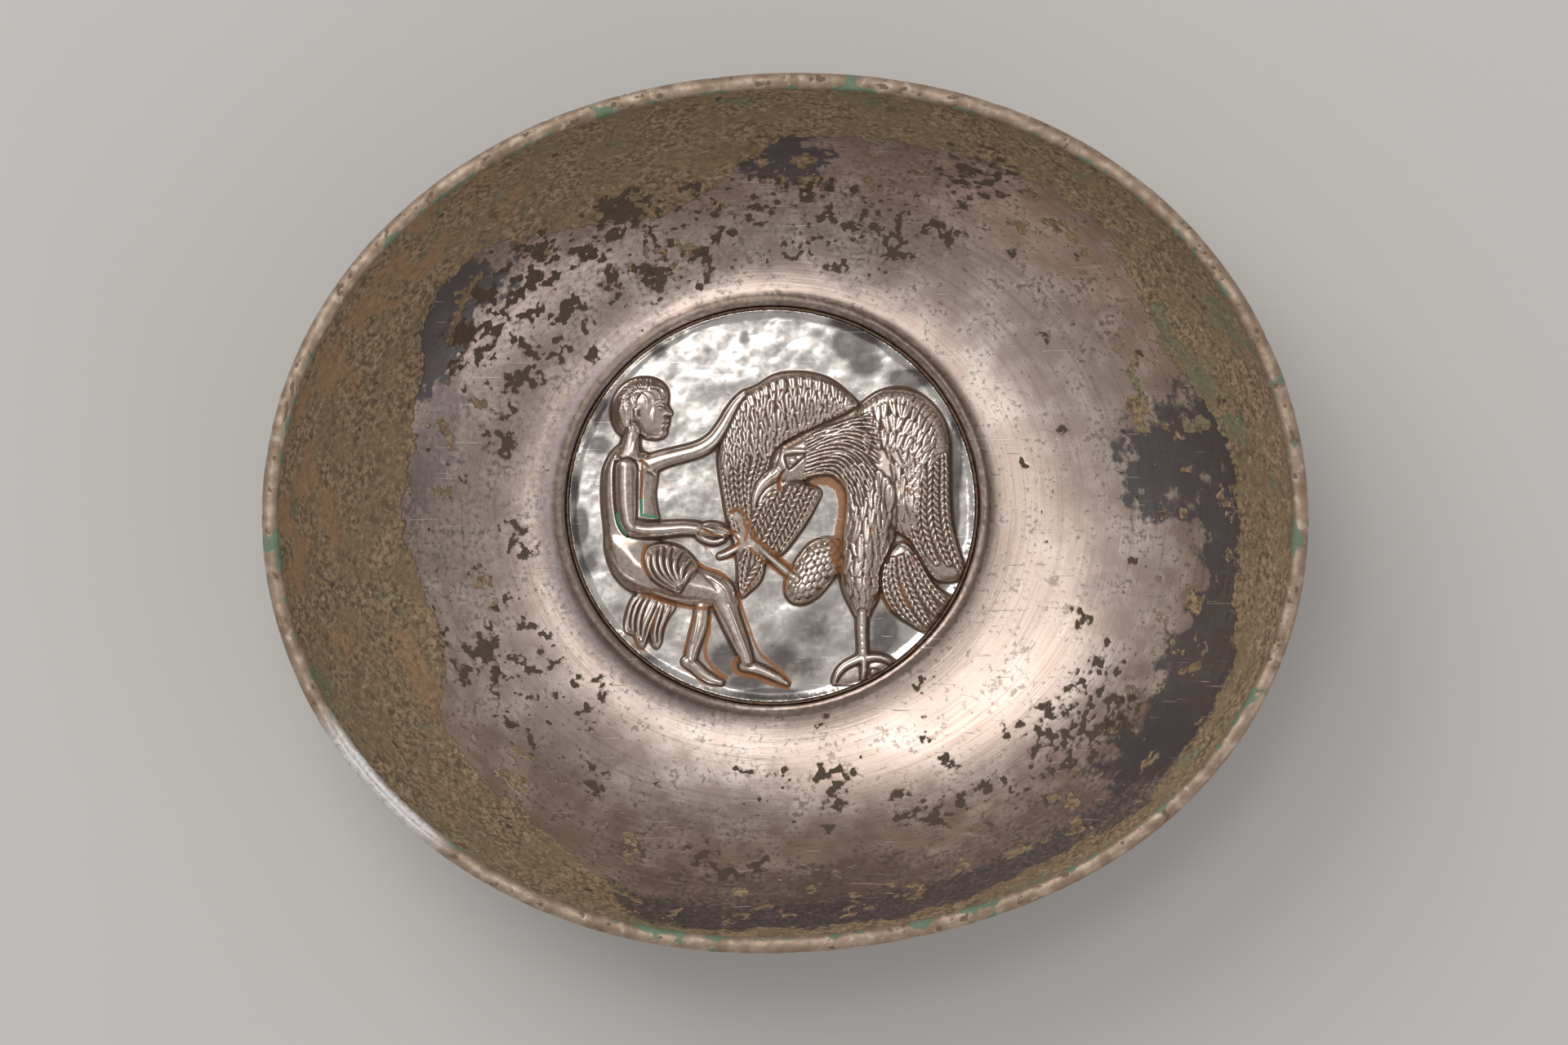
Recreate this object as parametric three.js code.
// Shallow oval silver bowl with a relief disc set into its floor.
// Units are millimetres, +Z is up, the foot stands on z = 0 and the rim's box is centred on the origin.
import * as THREE from 'three';

// ---------------------------------------------------------------- driving dimensions
const SECTORS = 72;            // steps round every turned body
const UNIT_RIM = 0.1637;       // mm per outline unit at the level of the rim
const UNIT_DISC = 0.1705;      // mm per outline unit at the level of the disc
const DISC_X = -2.65;          // centre of the disc, seat and foot
const DISC_Y = 1.6;
const DISC_A = 42.6;           // half width of the disc opening along X
const DISC_B = 41.15;          // half width of the disc opening along Y

const SHEET = 1.3;             // thickness of the bowl's sheet
const FOOT_H = 7.05;           // top of the foot ring
const BASE_Z = 7.2;            // flat underside of the bowl
const SEAT_Z = 8.5;            // floor of the seat under the disc
const LIP_Z = 12.7;            // top of the raised lip round the disc
const FLOOR_Z = 12.1;          // floor of the bowl outside the lip
const EDGE_Z = 59.0;           // top of the sheet, under the rim band
const RIM_Z = 62.0;            // top of the rim band
const WALL_ANGLE = 64 * Math.PI / 180;
const WALL_STEPS = 9;
const RIM_WIDTH = 3.3;         // width of the rounded rim band
const EDGE_IN = 2.0;           // inner face of the sheet at its edge, measured in from the rim's outline
const GAP = 0.15;              // clearance between neighbouring bodies

const DISC_T = 0.9;            // thickness of the disc's sheet
const GROUND_Z = 11.2;         // plain ground of the disc
const UPTURN = 0.8;            // height of the disc's turned-up edge
const BACK = 0.75;             // depth of the hollows behind the figures, against the height in front
const GRID = 46;               // cells across the disc, even

// ---------------------------------------------------------------- outlines
const outline = (t) => UNIT_RIM * (590.86 - 0.97 * Math.cos(t) - 0.06 * Math.sin(t)
  + 50.75 * Math.cos(2 * t) + 2.53 * Math.sin(2 * t) - 1.25 * Math.sin(3 * t)
  - 0.21 * Math.cos(4 * t) - 1.88 * Math.sin(4 * t)
  - 0.75 * Math.cos(5 * t) - 0.52 * Math.sin(5 * t));

const THETA = [];
for (let i = 0; i < SECTORS; i++) THETA.push(2 * Math.PI * i / SECTORS);

// the rim's box is centred on the origin
let x0 = 1e9, x1 = -1e9, y0 = 1e9, y1 = -1e9;
for (const t of THETA) {
  const r = outline(t);
  x0 = Math.min(x0, r * Math.cos(t)); x1 = Math.max(x1, r * Math.cos(t));
  y0 = Math.min(y0, r * Math.sin(t)); y1 = Math.max(y1, r * Math.sin(t));
}
const SHIFT_X = -(x0 + x1) / 2;
const SHIFT_Y = -(y0 + y1) / 2;

// point on the rim's outline, moved in or out by o
const atRim = (t, o) => {
  const r = outline(t) + o;
  return [SHIFT_X + r * Math.cos(t), SHIFT_Y + r * Math.sin(t)];
};
// point on the outline of the disc's opening, moved in or out by o
const discR = (t) => DISC_A * DISC_B / Math.hypot(DISC_B * Math.cos(t), DISC_A * Math.sin(t));
const atDisc = (t, o) => {
  const r = discR(t) + o;
  return [DISC_X + r * Math.cos(t), DISC_Y + r * Math.sin(t)];
};

// slight unevenness of the old rim, growing with height
const warp = (t, z) => {
  const s = Math.max(0, (z - 20) / 42);
  return s * s * (0.55 * Math.sin(2 * t + 0.6) + 0.3 * Math.sin(3 * t + 1.0));
};

// ---------------------------------------------------------------- mesh helpers
function makeMesh(name, pos, tri, color, metalness, roughness) {
  const g = new THREE.BufferGeometry();
  g.setAttribute('position', new THREE.Float32BufferAttribute(pos.flat(), 3));
  g.setIndex(tri.flat());
  g.computeVertexNormals();
  const m = new THREE.Mesh(g, new THREE.MeshStandardMaterial({ color, metalness, roughness }));
  m.name = name;
  return m;
}

// section(t) gives a closed loop of [x, y, z], counter-clockwise seen with the outside to the right
function ringBody(name, section, color, metalness, roughness) {
  const pos = [], tri = [];
  let m = 0;
  for (const t of THETA) {
    const loop = section(t).map(([x, y, z]) => [x, y, z + warp(t, z)]);
    m = loop.length;
    pos.push(...loop);
  }
  for (let i = 0; i < SECTORS; i++) {
    const j = (i + 1) % SECTORS;
    for (let k = 0; k < m; k++) {
      const l = (k + 1) % m;
      const a = i * m + k, b = i * m + l, c = j * m + l, d = j * m + k;
      tri.push([a, d, c], [a, c, b]);
    }
  }
  return makeMesh(name, pos, tri, color, metalness, roughness);
}

// section(t) runs from the axis at the bottom, out and up over the outside, back over the inside to the axis
function cupBody(name, bottom, section, top, color, metalness, roughness) {
  const pos = [bottom], tri = [];
  let m = 0;
  for (const t of THETA) {
    const line = section(t).map(([x, y, z]) => [x, y, z + warp(t, z)]);
    m = line.length;
    pos.push(...line);
  }
  pos.push(top);
  const last = pos.length - 1;
  for (let i = 0; i < SECTORS; i++) {
    const j = (i + 1) % SECTORS;
    tri.push([0, 1 + j * m, 1 + i * m]);
    for (let k = 0; k < m - 1; k++) {
      const a = 1 + i * m + k, b = a + 1, d = 1 + j * m + k, c = d + 1;
      tri.push([a, d, c], [a, c, b]);
    }
    tri.push([last, 1 + i * m + m - 1, 1 + j * m + m - 1]);
  }
  return makeMesh(name, pos, tri, color, metalness, roughness);
}

// ---------------------------------------------------------------- bowl shell
// inner face of the wall at fraction q (0 at the floor's start, 1 at the edge)
const wallPoint = (t, q) => {
  const f = q * WALL_ANGLE;
  const R = Math.sin(f) / Math.sin(WALL_ANGLE);
  const Z = (1 - Math.cos(f)) / (1 - Math.cos(WALL_ANGLE));
  const a = atDisc(t, 5.5), b = atRim(t, -EDGE_IN);
  return [a[0] + (b[0] - a[0]) * R, a[1] + (b[1] - a[1]) * R, FLOOR_Z + (EDGE_Z - FLOOR_Z) * Z];
};
// the same point moved through the sheet to the outer face
const wallOuter = (t, q) => {
  const e = 1e-3, p = wallPoint(t, q);
  const u = wallPoint(t, Math.min(1, q + e)), v = wallPoint(t, Math.max(0, q - e));
  const dr = Math.hypot(u[0] - v[0], u[1] - v[1]), dz = u[2] - v[2], n = Math.hypot(dr, dz);
  return [p[0] + SHEET * dz / n * Math.cos(t), p[1] + SHEET * dz / n * Math.sin(t), p[2] - SHEET * dr / n];
};

function shellSection(t) {
  const d = (o, z) => [...atDisc(t, o), z];
  const out = [d(1.6, BASE_Z), d(2.3, 9.6), d(4.2, 10.7)];
  for (let i = 1; i < WALL_STEPS; i++) out.push(wallOuter(t, i / WALL_STEPS));
  const eo = wallOuter(t, 1);
  out.push([eo[0], eo[1], EDGE_Z]);
  const inn = [];
  for (let i = WALL_STEPS; i >= 0; i--) inn.push(wallPoint(t, i / WALL_STEPS));
  inn.push(d(3.4, 12.2), d(2.3, LIP_Z), d(1.2, LIP_Z - 0.1), d(0.6, 12.0), d(0.55, SEAT_Z));
  return [...out, ...inn];
}
const bowlShell = cupBody('bowl_shell', [DISC_X, DISC_Y, BASE_Z], shellSection,
  [DISC_X, DISC_Y, SEAT_Z], 0xb0a598, 1.0, 0.42);

// ---------------------------------------------------------------- rim band and its seam
const rimBand = ringBody('rim_band', (t) => {
  const p = (o, z) => [...atRim(t, o), z];
  const w = RIM_WIDTH;
  return [p(-w + 0.45, EDGE_Z + GAP), p(-0.45, EDGE_Z + GAP), p(-0.06, EDGE_Z + 0.75), p(0, EDGE_Z + 1.45),
    p(-0.35, RIM_Z - 0.6), p(-1.05, RIM_Z - 0.1), p(-w / 2, RIM_Z), p(-w + 0.95, RIM_Z - 0.15),
    p(-w + 0.25, RIM_Z - 0.75), p(-w, EDGE_Z + 1.3)];
}, 0xa08873, 1.0, 0.5);

const rimSolder = ringBody('rim_solder', (t) => {
  const p = (o, z) => [...atRim(t, o), z];
  return [p(-EDGE_IN - 0.6, EDGE_Z - 1.3), p(-EDGE_IN - GAP, EDGE_Z - 0.05), p(-EDGE_IN - 0.95, EDGE_Z - 0.05)];
}, 0x5f8468, 0.3, 0.8);

// ---------------------------------------------------------------- disc with the two figures
// Heights in mm over outline units (the disc's own picture plane: u to the right, v down, centre 947, 620).
const DISC_U = 947, DISC_V = 620;

function insideDistance(u, v, pts) {
  let inside = false, best = 1e9;
  for (let i = 0, j = pts.length - 1; i < pts.length; j = i++) {
    const [xi, yi] = pts[i], [xj, yj] = pts[j];
    if ((yi > v) !== (yj > v) && u < (xj - xi) * (v - yi) / (yj - yi) + xi) inside = !inside;
    const dx = xj - xi, dy = yj - yi;
    const k = Math.max(0, Math.min(1, ((u - xi) * dx + (v - yi) * dy) / (dx * dx + dy * dy)));
    best = Math.min(best, Math.hypot(u - xi - k * dx, v - yi - k * dy));
  }
  return inside ? best : 0;
}
// pillow: closed outline, height H, edge rounded over w
const pillow = (H, w, pts) => (u, v) => {
  const d = Math.min(1, insideDistance(u, v, pts) / w);
  return H * Math.sqrt(1 - (1 - d) * (1 - d));
};
// limb: chain of [u, v, radius]
const limb = (H, pts) => (u, v) => {
  let h = 0;
  for (let i = 0; i + 1 < pts.length; i++) {
    const [ax, ay, ar] = pts[i], [bx, by, br] = pts[i + 1];
    const dx = bx - ax, dy = by - ay;
    const k = Math.max(0, Math.min(1, ((u - ax) * dx + (v - ay) * dy) / (dx * dx + dy * dy)));
    const r = ar + k * (br - ar), d = Math.hypot(u - ax - k * dx, v - ay - k * dy) / r;
    if (d < 1) h = Math.max(h, H * Math.sqrt(1 - d * d));
  }
  return h;
};

const FIGURES = [
  // eagle: far wing
  pillow(2.2, 14, [[905, 490], [914, 478], [926, 475], [940, 465], [956, 458], [978, 456], [1000, 459], [1020, 466],
    [1036, 479], [1054, 497], [1030, 512], [1000, 523], [975, 535], [955, 548], [1000, 600], [1008, 606], [995, 632],
    [980, 655], [960, 678], [938, 692], [934, 708], [924, 722], [908, 733], [904, 710], [903, 685], [896, 660],
    [889, 635], [884, 600], [880, 560], [886, 533], [894, 513]]),
  // eagle: near wing
  pillow(3.2, 18, [[1054, 497], [1068, 486], [1082, 478], [1100, 475], [1120, 480], [1136, 491], [1151, 506],
    [1161, 524], [1166, 548], [1166, 610], [1169, 642], [1175, 668], [1184, 698], [1184, 708], [1160, 712], [1146, 712],
    [1132, 698], [1118, 672], [1100, 655], [1075, 640], [1050, 600]]),
  // eagle: breast and standing leg
  pillow(4.2, 24, [[1030, 520], [1075, 520], [1092, 580], [1094, 640], [1090, 675], [1081, 700], [1079, 725],
    [1071, 747], [1064, 758], [1050, 757], [1042, 745], [1033, 726], [1029, 700], [1032, 660], [1036, 620],
    [1034, 596], [1024, 584], [1016, 560]]),
  // eagle: neck and head
  pillow(4.6, 20, [[1054, 498], [1075, 520], [1080, 560], [1050, 590], [1020, 583], [1000, 584], [975, 594],
    [957, 598], [943, 600], [930, 612], [924, 626], [920, 612], [926, 598], [936, 586], [945, 576], [947, 562],
    [958, 546], [982, 532], [1010, 519], [1034, 508]]),
  // eagle: raised thigh
  pillow(3.6, 20, [[1030, 662], [1016, 658], [1002, 662], [988, 671], [976, 687], [968, 702], [962, 720], [965, 734],
    [976, 741], [988, 740], [1003, 731], [1018, 713], [1030, 702]]),
  // eagle: tail
  pillow(2.4, 14, [[1092, 676], [1082, 700], [1080, 724], [1090, 744], [1104, 758], [1120, 768], [1134, 772],
    [1150, 758], [1164, 744], [1170, 732], [1150, 722], [1136, 704], [1122, 680]]),
  // eagle: shanks, toes and the small mound
  limb(2.6, [[974, 708, 7], [940, 681, 6.5], [916, 663, 6]]),
  limb(2.4, [[916, 665, 6], [908, 645, 6], [901, 630, 6]]),
  limb(2.4, [[916, 667, 6], [898, 677, 5], [880, 681, 4]]),
  limb(2.4, [[1057, 752, 8], [1058, 806, 7]]),
  limb(2.0, [[1057, 808, 7], [1037, 814, 6], [1024, 832, 4]]),
  limb(2.0, [[1059, 808, 7], [1082, 809, 5], [1100, 817, 4]]),
  pillow(1.2, 8, [[1022, 838], [1030, 820], [1057, 810], [1098, 812], [1100, 822], [1084, 832], [1056, 838]]),
  // youth: head, neck, body
  pillow(3.4, 20, [[764, 534], [752, 520], [749, 505], [752, 490], [762, 474], [776, 466], [794, 463], [808, 466],
    [817, 475], [821, 488], [822, 500], [824, 508], [820, 514], [818, 524], [810, 536], [796, 540], [784, 533]]),
  limb(2.8, [[772, 530, 12], [775, 565, 15]]),
  pillow(2.7, 18, [[760, 548], [790, 550], [806, 570], [806, 590], [804, 612], [806, 634], [812, 660], [812, 690],
    [800, 728], [784, 728], [768, 721], [755, 708], [746, 692], [742, 670], [739, 640], [737, 610], [738, 584],
    [742, 566]]),
  limb(2.5, [[797, 569, 13], [830, 557, 11], [864, 548, 10], [885, 525, 9], [901, 497, 7], [913, 483, 5]]),
  limb(3.9, [[768, 575, 13], [768, 605, 13], [770, 632, 13], [776, 648, 10], [805, 650, 10], [852, 650, 9]]),
  limb(3.4, [[852, 650, 9], [875, 652, 11], [892, 650, 7]]),
  // youth: thigh, legs, feet
  pillow(3.5, 17, [[744, 685], [752, 664], [800, 680], [850, 692], [870, 699], [888, 706], [900, 718], [906, 735],
    [894, 750], [872, 746], [840, 742], [800, 732], [775, 728], [756, 711]]),
  limb(2.9, [[886, 730, 18], [894, 758, 14], [907, 788, 11], [917, 815, 8]]),
  limb(2.2, [[917, 817, 8], [940, 825, 7], [962, 836, 4]]),
  limb(1.9, [[861, 748, 9], [857, 775, 9.5], [849, 800, 8], [846, 814, 7]]),
  limb(1.8, [[848, 814, 7], [865, 828, 7], [882, 834, 4]]),
  // cloth on the lap and its hanging ends
  pillow(4.4, 10, [[791, 690], [793, 676], [802, 667], [818, 665], [836, 672], [850, 684], [856, 695], [849, 707],
    [838, 720], [832, 728], [820, 721], [804, 711], [795, 701]]),
  pillow(1.7, 8, [[782, 726], [770, 745], [766, 765], [770, 776], [778, 779], [786, 796], [797, 775], [806, 752],
    [812, 736]]),
  pillow(1.7, 8, [[808, 736], [803, 760], [798, 782], [805, 796], [812, 783], [818, 762], [828, 742]]),
];
const reliefAt = (u, v) => {
  let h = 0;
  for (const f of FIGURES) h = Math.max(h, f(u, v));
  return h;
};
const relief = (x, y) => {
  const u = DISC_U + (x - DISC_X) / UNIT_DISC, v = DISC_V - (y - DISC_Y) / UNIT_DISC, e = 4.5;
  let h = 0;
  for (let b = -1; b <= 1; b++) {
    for (let a = -1; a <= 1; a++) h += (2 - Math.abs(a)) * (2 - Math.abs(b)) * reliefAt(u + a * e, v + b * e) / 16;
  }
  return h;
};

// square grid drawn out to the round disc
function squareToDisc(a, b) {
  let r, f;
  if (a === 0 && b === 0) return [0, 0];
  if (Math.abs(a) > Math.abs(b)) { r = a; f = Math.PI / 4 * (b / a); }
  else { r = b; f = Math.PI / 2 - Math.PI / 4 * (a / b); }
  return [r * Math.cos(f), r * Math.sin(f)];
}
const DISC_GRID = [];
for (let j = 0; j <= GRID; j++) {
  for (let i = 0; i <= GRID; i++) {
    const [cx, cy] = squareToDisc(2 * i / GRID - 1, 2 * j / GRID - 1);
    const x = DISC_X + cx * (DISC_A - 0.2), y = DISC_Y + cy * (DISC_B - 0.2);
    const fromEdge = (1 - Math.hypot(cx, cy)) * DISC_A;
    const k = Math.max(0, 1 - fromEdge / 2.2);
    const edge = i === 0 || j === 0 || i === GRID || j === GRID;
    const up = edge ? UPTURN : Math.max(UPTURN * k * k, relief(x, y));
    DISC_GRID.push([x, y, GROUND_Z + up]);
  }
}
const gi = (i, j) => j * (GRID + 1) + i;
// split a cell along the diagonal that follows the relief
const splitCell = (pts, a, b, c, d) => (Math.abs(pts[a][2] - pts[c][2]) <= Math.abs(pts[b][2] - pts[d][2])
  ? [[a, b, c], [a, c, d]] : [[a, b, d], [b, c, d]]);
// underside: every second grid point, lowest neighbour less the sheet's thickness, a little flatter than the face
const HALF = GRID / 2;
const DISC_BACK = [];
for (let j = 0; j <= HALF; j++) {
  for (let i = 0; i <= HALF; i++) {
    let z = 1e9;
    for (let b = -1; b <= 1; b++) {
      for (let a = -1; a <= 1; a++) {
        const I = 2 * i + a, J = 2 * j + b;
        if (I >= 0 && J >= 0 && I <= GRID && J <= GRID) z = Math.min(z, DISC_GRID[gi(I, J)][2]);
      }
    }
    const [x, y] = DISC_GRID[gi(2 * i, 2 * j)];
    DISC_BACK.push([x, y, GROUND_Z - DISC_T + BACK * (z - GROUND_Z)]);
  }
}
const hi = (i, j) => j * (HALF + 1) + i;
// walk round the square's edge, counter-clockwise, n cells a side
function rim(n, index) {
  const r = [];
  for (let i = 0; i < n; i++) r.push(index(i, 0));
  for (let j = 0; j < n; j++) r.push(index(n, j));
  for (let i = n; i > 0; i--) r.push(index(i, n));
  for (let j = n; j > 0; j--) r.push(index(0, j));
  return r;
}

const medallion = (() => {
  const pos = [...DISC_GRID], tri = [], off = pos.length;
  pos.push(...DISC_BACK);
  for (let j = 0; j < GRID; j++) {
    for (let i = 0; i < GRID; i++) {
      tri.push(...splitCell(pos, gi(i, j), gi(i + 1, j), gi(i + 1, j + 1), gi(i, j + 1)));
    }
  }
  for (let j = 0; j < HALF; j++) {
    for (let i = 0; i < HALF; i++) {
      const cell = splitCell(DISC_BACK, hi(i, j), hi(i + 1, j), hi(i + 1, j + 1), hi(i, j + 1));
      for (const [a, b, c] of cell) tri.push([off + a, off + c, off + b]);
    }
  }
  const up = rim(GRID, gi), dn = rim(HALF, hi).map((k) => off + k);
  for (let i = 0; i < dn.length; i++) {
    const a = up[2 * i], b = up[2 * i + 1], c = up[(2 * i + 2) % up.length];
    const d = dn[i], e = dn[(i + 1) % dn.length];
    tri.push([a, d, b], [b, d, e], [b, e, c]);
  }
  return makeMesh('medallion', pos, tri, 0xc6c3c0, 1.0, 0.25);
})();

const medallionFiller = (() => {
  const top = DISC_BACK.map(([x, y, z]) => [x, y, z - GAP]);
  const pos = [...top], tri = [];
  for (let j = 0; j < HALF; j++) {
    for (let i = 0; i < HALF; i++) {
      tri.push(...splitCell(DISC_BACK, hi(i, j), hi(i + 1, j), hi(i + 1, j + 1), hi(i, j + 1)));
    }
  }
  const up = rim(HALF, hi), off = pos.length;
  for (const k of up) pos.push([top[k][0], top[k][1], SEAT_Z + GAP]);
  pos.push([DISC_X, DISC_Y, SEAT_Z + GAP]);
  const mid = pos.length - 1;
  for (let i = 0; i < up.length; i++) {
    const l = (i + 1) % up.length;
    tri.push([up[i], off + i, off + l], [up[i], off + l, up[l]], [mid, off + l, off + i]);
  }
  return makeMesh('medallion_filler', pos, tri, 0x77736e, 0.6, 0.7);
})();

const medallionSolder = ringBody('medallion_solder', (t) => {
  const p = (o, z) => [...atDisc(t, o), z];
  return [p(-0.05, SEAT_Z + GAP), p(0.4, SEAT_Z + GAP), p(0.4, 11.85), p(-0.05, 11.75)];
}, 0x8a6a4e, 0.4, 0.7);

// ---------------------------------------------------------------- foot
const footRing = ringBody('foot_ring', (t) => {
  const p = (o, z) => [...atDisc(t, o), z];
  return [p(-4.3, 0), p(-0.8, 0), p(-0.45, 0.45), p(-0.7, 1.2), p(-1.7, 2.4), p(-2.3, 4.2), p(-1.9, 5.7),
    p(-1.0, 6.4), p(-1.0, FOOT_H), p(-6.4, FOOT_H), p(-5.6, 6.2), p(-4.7, 4.2), p(-4.4, 1.0)];
}, 0xa89c8e, 1.0, 0.45);

const footSolder = ringBody('foot_solder', (t) => {
  const p = (o, z) => [...atDisc(t, o), z];
  return [p(-0.85, 6.45), p(-0.2, 6.85), p(0.05, FOOT_H), p(-0.85, FOOT_H)];
}, 0x6f6a58, 0.4, 0.8);

// ---------------------------------------------------------------- assembly
const bowl = new THREE.Group();
bowl.name = 'silver_bowl';
bowl.add(bowlShell, rimBand, rimSolder, medallion, medallionFiller, medallionSolder, footRing, footSolder);
export default bowl;
